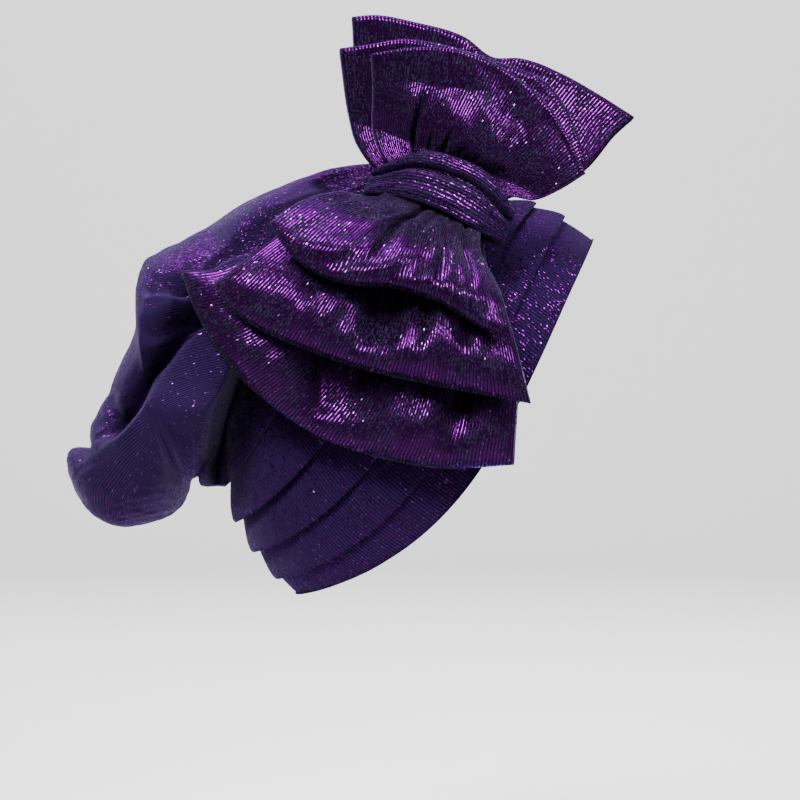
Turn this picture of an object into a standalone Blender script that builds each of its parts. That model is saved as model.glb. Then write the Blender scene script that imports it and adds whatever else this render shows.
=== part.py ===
"""Bow turban cap: a tucked head band, a draped crown with a hanging tail, and a bow at one side.

Metres, +Z up. The face looks toward -Y, and the bow is on the wearer's right, toward -X.
The origin is the middle of the opening that the head goes into.
Sizes below are in millimetres and degrees, and MM turns them into metres at the end.
"""

from collections import namedtuple

import bmesh
import bpy
import numpy as np

MM = 0.001
OBJECT_NAME = "bow_turban_cap"

# The head opening is a tilted oval from the forehead to the nape, and the cap is a dome over it
OPENING_HALF_LENGTH = 123.7
OPENING_HALF_WIDTH = 79.0
OPENING_TILT = 50.0
HEAD_RISE = 113.0
HEAD_ARC = 110.0
RIM_DIP = 28.5
RIM_DIP_LEAN = 0.6

# The band's tuck rows, from the rim up: where each one ends, and how far its lower edge stands out
Row = namedtuple("Row", "forehead side nape stand_front stand_nape")
TUCK_ROWS = (
    Row(20, 23, 14, 2.6, 2.6),
    Row(36, 47, 32, 5.0, 5.0),
    Row(50, 74, 49, 5.0, 6.5),
    Row(60, 113, 71, 5.0, 7.5),
)
BAND_WALL = 1.6
ROW_TOP_STAND = 2.2
ROW_STEP = 0.7
BAND_COLUMNS = 46

# The crown is a bag lofted through sections that swing from the band's top seam to the tail's tip
Section = namedtuple("Section", "top_y top_z under_y under_z half_width")
CROWN_SECTIONS = (
    Section(9, 138, 133, -38, 84),
    Section(54, 137, 134, -33, 88),
    Section(99, 122, 136, -33, 91),
    Section(142, 97, 140, -36, 91),
    Section(164, 83, 142, -40, 89),
    Section(167, 50, 143, -44, 86),
    Section(180, 21, 145, -48, 81),
    Section(193, -5, 149, -52, 73),
    Section(205, -25, 158, -57, 62),
    Section(197, -46, 174, -60, 42),
)
CROWN_TIP = (0, 187, -57)
CROWN_WALL = 1.6
CROWN_LAP = 5.0
CROWN_SEAM_GAP = 0.5
CROWN_SQUARENESS = 0.86
CROWN_ROWS = 23
CROWN_COLUMNS = 58

# The crown's folds are valleys that run over the sections, by section number and angle from the top:
# angles up to 180 are on the wearer's right, and the ones below 0 or over 180 are on the left
Fold = namedtuple("Fold", "name sections angles depth width")
CROWN_FOLDS = (
    Fold("top_dent", (1.6, 2.4, 3.2, 4.0, 4.6), (62, 60, 59, 60, 66), 5, 15),
    Fold(
        "upper_valley",
        (0.8, 2.0, 3.0, 3.7, 4.4, 5.0, 5.6, 6.2, 6.6),
        (104, 88, 76, 73, 77, 77, 66, 42, 15),
        13,
        13,
    ),
    Fold(
        "lower_valley",
        (1.0, 2.4, 3.3, 3.9, 4.7, 5.6, 6.4, 7.0, 7.6, 8.2, 8.8),
        (114, 96, 92, 95, 99, 97, 91, 85, 75, 56, 30),
        15,
        13,
    ),
    Fold("tail_crease", (1.9, 2.1, 2.1, 2.0, 1.9, 1.9, 2.0), (100, 115, 130, 150, 180, 210, 245), 9, 13),
    Fold("left_upper", (0.9, 2.2, 3.6, 5.0, 6.2, 7.0), (-98, -84, -76, -74, -52, -22), 10, 12),
    Fold("left_lower", (2.4, 3.8, 5.2, 6.6, 7.8, 8.7), (-112, -104, -102, -94, -72, -40), 12, 11),
    Fold("top_left", (0.8, 1.8, 3.0, 4.2, 5.2), (-26, -28, -31, -36, -34), 6, 13),
)
FOLD_STEPS = 48

# The bow lies in a plane that faces the wearer's right, turned so that its width slants down forward
BOW_CENTRE = (-65.0, 5.5, 110.0)
BOW_SLANT = 24.0
BOW_YAW = 0.36
YAW_REACH = 60.0
KNOT_MIDDLE = 12.0
KNOT_HALF_WIDTH = 20.0

# The knot wrap is a folded strip round the throats of the six loops
KNOT_HALF_SPAN = 34.0
KNOT_HALF_DEPTH = 15.6
KNOT_SQUARENESS = 0.5
KNOT_WALL = 2.2
KNOT_BULGE = 3.0
Wrap = namedtuple("Wrap", "across middle half_width")
KNOT_SHAPE = (
    Wrap(-36, -2, 4),
    Wrap(-18, 9, 12),
    Wrap(0, 12, 14),
    Wrap(18, 10, 14),
    Wrap(36, 3, 9),
)
# The strip's two folds with a crease between them: shares of its half width, and how far each stands out
KNOT_FOLDS = (
    (-1, 0),
    (-1, 0.75),
    (-0.55, 1),
    (0.1, 0.95),
    (0.3, 0.35),
    (0.5, 0.9),
    (0.85, 0.9),
    (1, 0.6),
    (1, 0),
)
KNOT_COLUMNS = 26

# The tab is the pressed corner of the wrap that sticks out behind it
TAB_CORNERS = ((-39.8, 4.0), (-46.5, -9.5), (-39.8, -6.0))
TAB_OUTWARD = -49.0
TAB_THICKNESS = 1.8

# Each loop is a strip pressed flat, folded at its outer edge and gathered at its throat
Loop = namedtuple("Loop", "name layer rises outer left right puff darts")
Dart = namedtuple("Dart", "across depth reach width")
THROAT_HALF_WIDTH = 25.0
THROAT_THICKNESS = 8.6
THROAT_GAP = 1.5
LAYER_GAP = 0.8
LOOP_EDGE = 3.4
LOOP_WALL = 1.1
LOOP_COLUMNS = 10
THROAT_ROWS = (0, 9, 17, 27)
LOOP_ROWS = 8
LOOPS = (
    Loop(
        "bow_lower_loop_3",
        3,
        False,
        ((-106, -85), (-90, -101), (-61, -120), (-37, -128), (-8, -133), (27, -130), (55, -123), (89, -106)),
        ((-75, -45), (-30, -9)),
        ((70, -60), (32, -13)),
        10,
        (Dart(0.3, 4, 0.5, 0.05), Dart(0.62, 4, 0.5, 0.05)),
    ),
    Loop(
        "bow_lower_loop_2",
        2,
        False,
        ((-87, -85), (-73, -93), (-58, -96), (-30, -96), (-3, -94), (29, -88), (59, -81), (84, -75)),
        ((-62, -40), (-30, -9)),
        ((60, -44), (32, -12)),
        10,
        (Dart(0.35, 4, 0.5, 0.05), Dart(0.7, 4, 0.5, 0.05)),
    ),
    Loop(
        "bow_lower_loop_1",
        1,
        False,
        ((-73, -45), (-65, -51), (-45, -59), (-23, -58), (-4, -51), (23, -48), (46, -51), (62, -50)),
        ((-64, -28), (-49, -14), (-30, -8)),
        ((48, -31), (29, -12)),
        11,
        (Dart(0.44, 7, 0.85, 0.06), Dart(0.78, 4, 0.6, 0.05)),
    ),
    Loop(
        "bow_upper_loop_3",
        3,
        True,
        ((-83, 77), (-73, 82), (-51, 87), (-24, 90), (-5, 86), (8, 91), (34, 92), (51, 90), (75, 86)),
        ((-62, 40), (-32, 14)),
        ((70, 75), (62, 49), (32, 20)),
        7.5,
        (Dart(0.35, 3, 0.5, 0.05), Dart(0.65, 3, 0.5, 0.05)),
    ),
    Loop(
        "bow_upper_loop_2",
        2,
        True,
        ((-81, 57), (-67, 65), (-52, 74), (-33, 79), (0, 82), (25, 82), (38, 75), (50, 64), (61, 51)),
        ((-75, 47), (-63, 28), (-52, 15), (-34, 7)),
        ((50, 34), (32, 19)),
        7.5,
        (Dart(0.4, 3, 0.5, 0.05), Dart(0.7, 3, 0.5, 0.05)),
    ),
    Loop(
        "bow_upper_loop_1",
        1,
        True,
        ((-64, 59), (-45, 70), (-22, 78), (3, 78), (26, 72), (44, 61), (63, 44)),
        ((-56, 43), (-47, 23), (-33, 11)),
        ((54, 31), (45, 22), (32, 18)),
        11,
        (Dart(0.3, 4, 0.55, 0.05), Dart(0.52, 5, 0.6, 0.05), Dart(0.75, 4, 0.5, 0.05)),
    ),
)

# How the bow stands off the head: a near flat back behind the knot, then out over the side below it
SEAT_GAP = 0.9
SEAT_MARGIN = 4.0
SEAT_SPREAD = 42.0
SEAT_REACH = 35.0
UPPER_LEAN = 0.25
PRESS_HALF_WIDTH = 36.0
PRESS_SPREAD = 0.78
PRESS_LENGTH = 136.0
PRESS_EDGE = 24.0
STACK_SPREAD = {False: 14.0, True: 10.0}
PUFF_REACH = 22.0

# Colour, metallic share and roughness of the pressed lurex cloth, lightest on the bow
CLOTH_COLOURS = {
    "band": ((0.045, 0.012, 0.085, 1), 0.35, 0.5),
    "crown": ((0.055, 0.014, 0.1, 1), 0.35, 0.45),
    "bow": ((0.075, 0.014, 0.13, 1), 0.45, 0.4),
    "knot": ((0.06, 0.014, 0.11, 1), 0.4, 0.45),
}


def turned(angle):
    """Cosine and sine of an angle in degrees."""
    return np.cos(np.radians(angle)), np.sin(np.radians(angle))


def blend(places, values, at):
    """A smooth curve through one value for each place, read at the places asked for."""
    places, values = np.asarray(places, float), np.asarray(values, float)
    slopes = np.gradient(values, places, axis=0)
    cell = np.clip(np.searchsorted(places, at, side="right") - 1, 0, len(places) - 2)
    span = places[cell + 1] - places[cell]
    share = (at - places[cell]) / span
    shape = share.shape + (1,) * (values.ndim - 1)
    share, span = share.reshape(shape), span.reshape(shape)
    start = values[cell] * (1 + 2 * share) + slopes[cell] * span * share
    finish = values[cell + 1] * (3 - 2 * share) - slopes[cell + 1] * span * (1 - share)
    return start * (1 - share) ** 2 + finish * share**2


def eased(value, low, high):
    """0 up to low, 1 from high on, and a smooth change between them."""
    share = np.clip((value - low) / (high - low), 0, 1)
    return share * share * (3 - 2 * share)


def by_side(forehead, side, nape, around):
    """Three values blended round the head: at the forehead, at both sides and at the nape."""
    front = np.cos(around)
    return side + (forehead - nape) / 2 * front + ((forehead + nape) / 2 - side) * front**2


def head_point(around, up, out):
    """Points over the head: round it from the forehead, up it from the rim, and out from it."""
    dip = RIM_DIP * np.sin(around) ** 2 * (1 - RIM_DIP_LEAN * np.cos(around))
    rise = up / HEAD_ARC - np.arcsin(dip / HEAD_RISE)
    round_it = np.stack(
        [np.sin(around) * np.cos(rise), np.cos(around) * np.cos(rise), np.sin(rise)], axis=-1
    )
    sizes = np.array([OPENING_HALF_WIDTH, OPENING_HALF_LENGTH, HEAD_RISE])
    outward = round_it / sizes
    outward /= np.linalg.norm(outward, axis=-1, keepdims=True)
    level, steep = turned(OPENING_TILT)
    axes = np.array([[-1, 0, 0], [0, -level, steep], [0, steep, level]])
    return (round_it * sizes + outward * np.asarray(out)[..., None]) @ axes


def row_end(row, around):
    """How far up from the rim a tuck row ends."""
    return by_side(row.forehead, row.side, row.nape, around)


def row_stand(row, around):
    """How far a tuck row's lower edge stands out of the head, more at the nape."""
    return row.stand_front + (row.stand_nape - row.stand_front) * eased(-np.cos(around), 0.1, 0.9)


def band_surface():
    """The tuck rows one over the other, each standing out at its lower edge."""
    around = np.linspace(0, 2 * np.pi, BAND_COLUMNS, endpoint=False)
    rings = []
    start = 0 * around
    for row in TUCK_ROWS:
        end, stand = row_end(row, around), row_stand(row, around)
        rings.append(head_point(around, start, stand))
        rings.append(head_point(around, (start + end) / 2, 0.7 * stand + 0.3 * ROW_TOP_STAND))
        rings.append(head_point(around, end - ROW_STEP, 0 * around + ROW_TOP_STAND))
        start = end
    return np.array(rings)


def bow_place(points):
    """How far points lie across the bow and up it from its centre."""
    level, steep = turned(BOW_SLANT)
    y, z = points[..., 1] - BOW_CENTRE[1], points[..., 2] - BOW_CENTRE[2]
    return -level * y - steep * z, -steep * y + level * z


def bow_point(across, up, x):
    """Points from their places across and up the bow, and their x."""
    level, steep = turned(BOW_SLANT)
    y = BOW_CENTRE[1] - level * across - steep * up
    z = BOW_CENTRE[2] - steep * across + level * up
    return np.stack([x + 0 * y, y, z], axis=-1)


def clear_of_knot(up):
    """How far up or down the bow a place is from the knot wrap's edge, and 0 inside the wrap."""
    return np.maximum(np.abs(up - KNOT_MIDDLE) - KNOT_HALF_WIDTH, 0)


def throat_back(across, up, margin=0):
    """How far from the middle plane the innermost loop's back lies, all along the bow."""
    clear = np.maximum(clear_of_knot(up) - margin, 0)
    below = SEAT_SPREAD * (1 - np.exp(-clear / SEAT_REACH)) * (up < KNOT_MIDDLE)
    above = UPPER_LEAN * clear * (up > KNOT_MIDDLE)
    turn = BOW_YAW * across * np.exp(-clear / YAW_REACH)
    return LAYER_GAP - BOW_CENTRE[0] - KNOT_HALF_DEPTH + below - above + turn


def seat_depth(across, up):
    """How far from the middle plane the cap may reach: to the knot wrap, and past it to the loops."""
    wrap = (KNOT_WALL + KNOT_BULGE) * (1 - eased(clear_of_knot(up), SEAT_MARGIN / 2, 2 * SEAT_MARGIN))
    return throat_back(across, up, SEAT_MARGIN) - wrap - SEAT_GAP


def pressed_by_bow(points):
    """Cloth under the bow, pressed in so far that the bow lies on it."""
    across, up = bow_place(points)
    half = PRESS_HALF_WIDTH + PRESS_SPREAD * np.abs(up - KNOT_MIDDLE)
    share = 1 - eased(np.abs(across), half, half + PRESS_EDGE)
    share *= 1 - eased(-up, PRESS_LENGTH, PRESS_LENGTH + PRESS_EDGE)
    depth = -points[..., 0]
    over = np.maximum(depth - seat_depth(across, up), 0)
    pressed = points.copy()
    pressed[..., 0] += over * share * (depth > 0)
    return pressed


def inward_ways(rings):
    """Unit directions from each ring's points to its own middle, so that no two rings cross."""
    ways = rings.mean(axis=1, keepdims=True) - rings
    return ways / np.maximum(np.linalg.norm(ways, axis=-1, keepdims=True), 1e-9)


def crown_sections(at, around):
    """The plain bag: a smooth loft from the band's top seam through the sections to the tip."""
    last = TUCK_ROWS[-1]
    seam_out = ROW_TOP_STAND + 0.3 * row_stand(last, around) + CROWN_SEAM_GAP + CROWN_WALL
    rings = [head_point(around, row_end(last, around) - CROWN_LAP, seam_out)]
    up, side = np.cos(around), np.sin(around)
    up, side = (np.sign(v) * np.abs(v) ** CROWN_SQUARENESS for v in (up, side))
    for section in CROWN_SECTIONS:
        top = np.array([0, section.top_y, section.top_z])
        under = np.array([0, section.under_y, section.under_z])
        ring = (top + under) / 2 + up[:, None] * (top - under) / 2
        ring[:, 0] -= side * section.half_width
        rings.append(ring)
    rings.append(np.tile(np.array(CROWN_TIP, float), (len(around), 1)))
    return blend(range(len(rings)), rings, at)


def fold_line(fold):
    """Points along a fold on the plain bag, and how much of its depth each one has."""
    share = np.linspace(0, 1, FOLD_STEPS)
    steps = np.linspace(0, 1, len(fold.sections))
    sections, angles = blend(steps, fold.sections, share), blend(steps, fold.angles, share)
    line = crown_sections(sections, np.radians(angles))[range(FOLD_STEPS), range(FOLD_STEPS)]
    return line, eased(share, 0, 0.2) * (1 - eased(share, 0.8, 1))


def crown_fold_depth(points):
    """How deep the folds press each point of the plain bag in."""
    depth = np.zeros(points.shape[:-1])
    for fold in CROWN_FOLDS:
        line, strength = fold_line(fold)
        distance = np.linalg.norm(points[..., None, :] - line, axis=-1)
        nearest = distance.argmin(axis=-1)
        depth += fold.depth * strength[nearest] * np.exp(-(distance.min(axis=-1) / fold.width) ** 2)
    return depth


def crown_surface():
    """The crown from its seam to just before its tip, with its folds, pressed in by the bow."""
    last = len(CROWN_SECTIONS) + 1
    at = last * (1 - (1 - np.linspace(0, 0.96, CROWN_ROWS)) ** 1.15)
    around = np.linspace(0, 2 * np.pi, CROWN_COLUMNS, endpoint=False)
    plain = crown_sections(at, around)
    folded = plain + inward_ways(plain) * crown_fold_depth(plain)[..., None]
    return pressed_by_bow(folded)


def loop_patch(loop, across, along):
    """Places across and up the bow of a loop's grid, between its throat, sides and outer edge."""
    lift = THROAT_GAP if loop.rises else -THROAT_GAP
    ends = [(-THROAT_HALF_WIDTH, throat_height(-THROAT_HALF_WIDTH) + lift)]
    ends.append((THROAT_HALF_WIDTH, throat_height(THROAT_HALF_WIDTH) + lift))
    outer = even(loop.outer, across)
    left = even((ends[0],) + loop.left[::-1] + (loop.outer[0],), along)
    right = even((ends[1],) + loop.right[::-1] + (loop.outer[-1],), along)
    throat_across = THROAT_HALF_WIDTH * (2 * across - 1)
    throat = np.stack([throat_across, throat_height(throat_across) + lift], axis=-1)
    a, s = across[None, :, None], along[:, None, None]
    sides = (1 - a) * left[:, None] + a * right[:, None]
    ways = (1 - s) * throat[None] + s * outer[None]
    corners = (1 - s) * ((1 - a) * throat[0] + a * throat[-1]) + s * ((1 - a) * outer[0] + a * outer[-1])
    return sides + ways - corners


def even(points, at):
    """A smooth curve through points, read at shares of its length."""
    points = np.array(points, float)
    gaps = np.linalg.norm(np.diff(points, axis=0), axis=1)
    places = np.concatenate([[0], np.cumsum(gaps)]) / gaps.sum()
    return blend(places, points, at)


def throat_height(across):
    """Where the loops' throats meet up the bow, half as arched as the wrap round them."""
    middle = blend([w.across for w in KNOT_SHAPE], [w.middle for w in KNOT_SHAPE], np.asarray(across, float))
    return (middle + KNOT_MIDDLE) / 2


def puffed(up):
    """0 inside the knot wrap, growing to 1 away from its edge."""
    return 1 - np.exp(-clear_of_knot(up) / PUFF_REACH)


def layer_back(loop, across, up):
    """How far from the middle plane a loop's back lies, stacked on the loops under it."""
    spread = STACK_SPREAD[loop.rises] * puffed(up)
    return throat_back(across, up) + (3 - loop.layer) * (THROAT_THICKNESS + LAYER_GAP + spread)


def loop_rows(loop):
    """Shares of a loop's length: close rows at the throat, then even ones to the outer edge."""
    outer_middle = even(loop.outer, np.array([0.5]))[0]
    length = np.linalg.norm(outer_middle - (0, KNOT_MIDDLE))
    throat = np.array(THROAT_ROWS) / length
    return np.concatenate([throat, np.linspace(throat[-1], 1, LOOP_ROWS - len(throat) + 1)[1:]])


def loop_surface(loop):
    """A loop's two faces as rings: each ring runs over the front and comes back over the back."""
    across = np.linspace(0, 1, LOOP_COLUMNS)
    along = loop_rows(loop)
    patch = loop_patch(loop, across, along)
    a, s = across[None, :], along[:, None]
    round_across = np.sin(np.pi * a) ** 0.6
    full = THROAT_THICKNESS - LOOP_EDGE + loop.puff * puffed(patch[..., 1])
    thickness = LOOP_EDGE + full * (1 - s**2.5) ** 0.7 * round_across
    for dart in loop.darts:
        here = eased(s, 0.1, 0.3) * (1 - eased(s, 0.3, dart.reach))
        thickness = thickness - dart.depth * here * np.exp(-(((a - dart.across) / dart.width) ** 2))
    lift = 0.5 * (THROAT_THICKNESS - LOOP_EDGE) * (1 - round_across) * (1 - eased(s, 0.1, 0.5))
    back = layer_back(loop, patch[..., 0], patch[..., 1]) + lift
    front = bow_point(patch[..., 0], patch[..., 1], -back - np.maximum(thickness, LOOP_EDGE))
    behind = bow_point(patch[..., 0], patch[..., 1], -back)
    return front, behind


def knot_surface():
    """The wrap as rings of its cross-section: two soft folds outside with a crease between them."""
    turn = np.linspace(0, 2 * np.pi, KNOT_COLUMNS, endpoint=False)
    reach, depth = (np.sign(v) * np.abs(v) ** KNOT_SQUARENESS for v in (np.cos(turn), np.sin(turn)))
    inner_across, inner_x = KNOT_HALF_SPAN * reach, BOW_CENTRE[0] - KNOT_HALF_DEPTH * depth
    away = np.stack([reach, -depth], axis=-1)
    away /= np.linalg.norm(away, axis=-1, keepdims=True)
    places = [w.across for w in KNOT_SHAPE]
    clipped = np.clip(inner_across, places[0], places[-1])
    middle = blend(places, [w.middle for w in KNOT_SHAPE], clipped)
    half = blend(places, [w.half_width for w in KNOT_SHAPE], clipped)
    sections = []
    for share, stand in KNOT_FOLDS:
        out = KNOT_WALL * (stand > 0) + KNOT_BULGE * stand
        across = inner_across + out * away[:, 0]
        x = inner_x + out * away[:, 1] - BOW_YAW * across
        sections.append(bow_point(across, middle + share * half, x))
    return np.stack(sections, axis=1)


def mesh_object(name, points, faces, material, collection):
    """An object from points in millimetres and their faces, with its material."""
    mesh = bpy.data.meshes.new(name)
    mesh.from_pydata((np.asarray(points) * MM).tolist(), [], faces)
    mesh.materials.append(material)
    made = bpy.data.objects.new(name, mesh)
    collection.objects.link(made)
    tidy = bmesh.new()
    tidy.from_mesh(mesh)
    bmesh.ops.recalc_face_normals(tidy, faces=tidy.faces)
    tidy.to_mesh(mesh)
    tidy.free()
    mesh.shade_smooth()
    return made


def ring_faces(rows, columns, closed_rows=False):
    """Quads between neighbouring rings of a grid whose columns close on themselves."""
    faces = []
    for row in range(rows if closed_rows else rows - 1):
        for column in range(columns):
            here, there = row * columns, (row + 1) % rows * columns
            right = (column + 1) % columns
            faces.append((here + column, here + right, there + right, there + column))
    return faces


def thickened(made, wall):
    """Give an open surface a wall on its inner side."""
    solid = made.modifiers.new("wall", "SOLIDIFY")
    solid.thickness = wall * MM
    solid.offset = -1
    return made


def build_head_band(collection, material):
    grid = band_surface()
    faces = ring_faces(*grid.shape[:2])
    return thickened(mesh_object("head_band", grid.reshape(-1, 3), faces, material, collection), BAND_WALL)


def build_crown(collection, material):
    grid = crown_surface()
    rows, columns = grid.shape[:2]
    faces = ring_faces(rows, columns)
    tip = rows * columns
    last = tip - columns
    faces += [(last + c, last + (c + 1) % columns, tip) for c in range(columns)]
    points = np.vstack([grid.reshape(-1, 3), grid[-1].mean(axis=0)])
    return thickened(mesh_object("crown_drape", points, faces, material, collection), CROWN_WALL)


def build_loop(loop, collection, material):
    front, behind = loop_surface(loop)
    rings = np.concatenate([front, behind[:, ::-1]], axis=1)
    rows, columns = rings.shape[:2]
    faces = ring_faces(rows, columns)
    edge = (rows - 1) * columns
    for c in range(columns // 2 - 1):
        faces.append((edge + c, edge + c + 1, edge + columns - 2 - c, edge + columns - 1 - c))
    return thickened(mesh_object(loop.name, rings.reshape(-1, 3), faces, material, collection), LOOP_WALL)


def build_knot(collection, material):
    grid = knot_surface()
    faces = ring_faces(*grid.shape[:2], closed_rows=True)
    return mesh_object("knot_wrap", grid.reshape(-1, 3), faces, material, collection)


def build_tab(collection, material):
    across, up = np.array(TAB_CORNERS, float).T
    near = bow_point(across, up, TAB_OUTWARD - TAB_THICKNESS)
    far = bow_point(across, up, TAB_OUTWARD)
    faces = [(0, 1, 2), (5, 4, 3), (0, 3, 4, 1), (1, 4, 5, 2), (2, 5, 3, 0)]
    return mesh_object("knot_tab", np.vstack([near, far]), faces, material, collection)


def cloth_material(name):
    """One Principled material for a pressed lurex cloth."""
    colour, metallic, roughness = CLOTH_COLOURS[name]
    material = bpy.data.materials.new(f"{name}_lurex")
    material.use_nodes = True
    shader = material.node_tree.nodes["Principled BSDF"]
    shader.inputs["Base Color"].default_value = colour
    shader.inputs["Metallic"].default_value = metallic
    shader.inputs["Roughness"].default_value = roughness
    return material


def main():
    for old in list(bpy.data.objects):
        bpy.data.objects.remove(old, do_unlink=True)
    collection = bpy.data.collections.new(OBJECT_NAME)
    bpy.context.scene.collection.children.link(collection)
    cloths = {name: cloth_material(name) for name in CLOTH_COLOURS}
    build_head_band(collection, cloths["band"])
    build_crown(collection, cloths["crown"])
    build_knot(collection, cloths["knot"])
    build_tab(collection, cloths["knot"])
    for loop in LOOPS:
        build_loop(loop, collection, cloths["bow"])


main()
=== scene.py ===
# %% [markdown]
# # A bow turban cap in pleated lurex
# The cap is worn: a band of tucks hugs the head, a slouchy crown hangs behind the nape, and a big
# layered bow sits on the wearer's right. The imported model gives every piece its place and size.
# Here each piece is cut as a flat strip of cloth, draped over the same curves and finished with ribs
# and metallic thread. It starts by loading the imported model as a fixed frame.

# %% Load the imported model
from collections import namedtuple

import bpy
import numpy as np
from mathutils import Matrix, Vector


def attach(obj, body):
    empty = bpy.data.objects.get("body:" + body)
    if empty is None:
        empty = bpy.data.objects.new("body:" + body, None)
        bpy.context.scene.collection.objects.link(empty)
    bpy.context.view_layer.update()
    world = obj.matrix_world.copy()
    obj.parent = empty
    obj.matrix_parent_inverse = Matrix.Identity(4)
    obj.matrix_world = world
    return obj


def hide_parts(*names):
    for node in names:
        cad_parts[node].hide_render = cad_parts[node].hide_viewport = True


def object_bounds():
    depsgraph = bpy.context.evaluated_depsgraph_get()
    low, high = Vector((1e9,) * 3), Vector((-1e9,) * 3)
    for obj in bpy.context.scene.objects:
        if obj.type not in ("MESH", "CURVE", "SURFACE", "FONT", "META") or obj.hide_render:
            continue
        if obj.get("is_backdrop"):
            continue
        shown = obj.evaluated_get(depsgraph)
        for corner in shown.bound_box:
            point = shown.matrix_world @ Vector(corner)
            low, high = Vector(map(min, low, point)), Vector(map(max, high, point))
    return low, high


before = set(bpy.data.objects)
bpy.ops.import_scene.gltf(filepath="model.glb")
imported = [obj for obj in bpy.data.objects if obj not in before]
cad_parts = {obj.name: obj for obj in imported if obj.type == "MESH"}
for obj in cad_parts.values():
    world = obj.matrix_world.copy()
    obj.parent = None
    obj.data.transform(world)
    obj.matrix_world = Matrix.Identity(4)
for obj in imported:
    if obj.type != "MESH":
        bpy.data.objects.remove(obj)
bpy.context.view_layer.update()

MM = 0.001
print("nodes:", ", ".join(sorted(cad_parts)))

# %% [markdown]
# ## Camera
# The photo looks straight at the wearer's right side from about the height of the ear. A lens a
# little longer than a portrait lens, 1.3 m away, gives the same mild perspective.

# %% Camera
CAMERA_DISTANCE = 1.3
CAMERA_TARGET = (0, 0.02475, 0.00925)
SENSOR = 36.0
FRAME_WIDTH = 0.44

lens = bpy.data.cameras.new("photo_camera")
lens.sensor_width = SENSOR
lens.lens = SENSOR * CAMERA_DISTANCE / FRAME_WIDTH
camera = bpy.data.objects.new("photo_camera", lens)
bpy.context.scene.collection.objects.link(camera)
camera.location = (-CAMERA_DISTANCE, CAMERA_TARGET[1], CAMERA_TARGET[2])
camera.rotation_euler = (np.pi / 2, 0, -np.pi / 2)
bpy.context.scene.camera = camera
print(f"camera: {lens.lens:.0f} mm lens, {CAMERA_DISTANCE} m from the cap")

# %% [markdown]
# ## Studio
# The cap is shown on white. A round floor that curves up into a wall gives a pale ground from every
# side, with no line behind the cap. Soft lamps stand for the studio's windows and its ceiling:
# metallic thread is dull without something bright and wide to mirror, and it glints only where the
# cloth faces halfway between a lamp and the camera.

# %% A round pale floor that curves up into a wall
FLOOR_LEVEL = -0.3
FLOOR_RADIUS = 3.0
WALL_BEND = 0.9
WALL_TOP = 5.0
FLOOR_SIDES = 96
BEND_STEPS = 10


def select_only(piece):
    """Leave one object selected and active, because an operator acts on all that is selected."""
    bpy.ops.object.select_all(action="DESELECT")
    piece.select_set(True)
    bpy.context.view_layer.objects.active = piece


bpy.ops.object.select_all(action="DESELECT")
bpy.ops.mesh.primitive_circle_add(
    vertices=FLOOR_SIDES, radius=FLOOR_RADIUS, fill_type="NGON", location=(0, 0, 0)
)
floor = bpy.context.object
floor.name = "studio_floor"
bpy.ops.object.mode_set(mode="EDIT")
bpy.ops.mesh.select_all(action="SELECT")
bpy.ops.mesh.select_mode(type="EDGE")
bpy.ops.mesh.region_to_loop()
radius, height = FLOOR_RADIUS, 0.0
for step in range(1, BEND_STEPS + 1):
    turn = step / BEND_STEPS * np.pi / 2
    wide, high = FLOOR_RADIUS + WALL_BEND * np.sin(turn), WALL_BEND * (1 - np.cos(turn))
    bpy.ops.mesh.extrude_edges_move()
    bpy.ops.transform.resize(value=(wide / radius, wide / radius, 1))
    bpy.ops.transform.translate(value=(0, 0, high - height))
    radius, height = wide, high
bpy.ops.mesh.extrude_edges_move()
bpy.ops.transform.translate(value=(0, 0, WALL_TOP - height))
bpy.ops.mesh.select_all(action="SELECT")
bpy.ops.transform.translate(value=(0, 0, FLOOR_LEVEL))
bpy.ops.mesh.normals_make_consistent(inside=True)
bpy.ops.object.mode_set(mode="OBJECT")
bpy.ops.object.shade_smooth()
floor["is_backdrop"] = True
print("floor:", len(floor.data.polygons), "faces")

# %% Soft lamps and the light of the room
Lamp = namedtuple("Lamp", "name place target size spread power")
LAMPS = (
    Lamp("left_window", (-1.5, 0.6, 1.3), (0, 0.03, 0.03), (0.85, 0.75), 26, 4.2),
    Lamp("right_window", (-1.2, -1.2, 1.1), (0, 0.03, 0.03), (0.5, 0.5), 24, 1.0),
    Lamp("top_window", (0.15, 0.45, 1.9), (0, 0.03, 0.03), (0.8, 0.8), 34, 4.2),
    Lamp("ceiling", (0.3, 0, 2.6), (0.3, 0.01, 0), (2.4, 2.4), 180, 30),
    Lamp("wall_wash", (0.9, 0, 1.7), (3.4, 0, -0.2), (2.0, 2.0), 180, 225),
)
ROOM_COLOUR = (0.95, 0.96, 1.0, 1)
ROOM_LIGHT = 0.16

for lamp in LAMPS:
    light = bpy.data.lights.new(lamp.name, "AREA")
    light.shape = "RECTANGLE"
    light.size, light.size_y = lamp.size
    light.spread = np.radians(lamp.spread)
    light.energy = lamp.power
    holder = bpy.data.objects.new(lamp.name, light)
    bpy.context.scene.collection.objects.link(holder)
    holder.location = lamp.place
    holder.visible_camera = False
    away = np.array(lamp.target) - np.array(lamp.place)
    flat_reach = np.hypot(away[0], away[1])
    holder.rotation_euler = (np.arctan2(flat_reach, -away[2]), 0, np.arctan2(away[1], away[0]) - np.pi / 2)

room = bpy.data.worlds.new("studio_room")
room.use_nodes = True
room.node_tree.nodes["Background"].inputs["Color"].default_value = ROOM_COLOUR
room.node_tree.nodes["Background"].inputs["Strength"].default_value = ROOM_LIGHT
bpy.context.scene.world = room
print("lamps:", len(LAMPS))

# %% [markdown]
# ## Cloth, cut flat and draped
# Every piece of the cap starts as a flat grid, as a maker cuts a strip. A smooth surface says where
# each point of the strip ends up, and the strip keeps a UV map in which x counts ribs and y is the
# length along them in millimetres. The pattern then follows the cloth over each fold.

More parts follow.
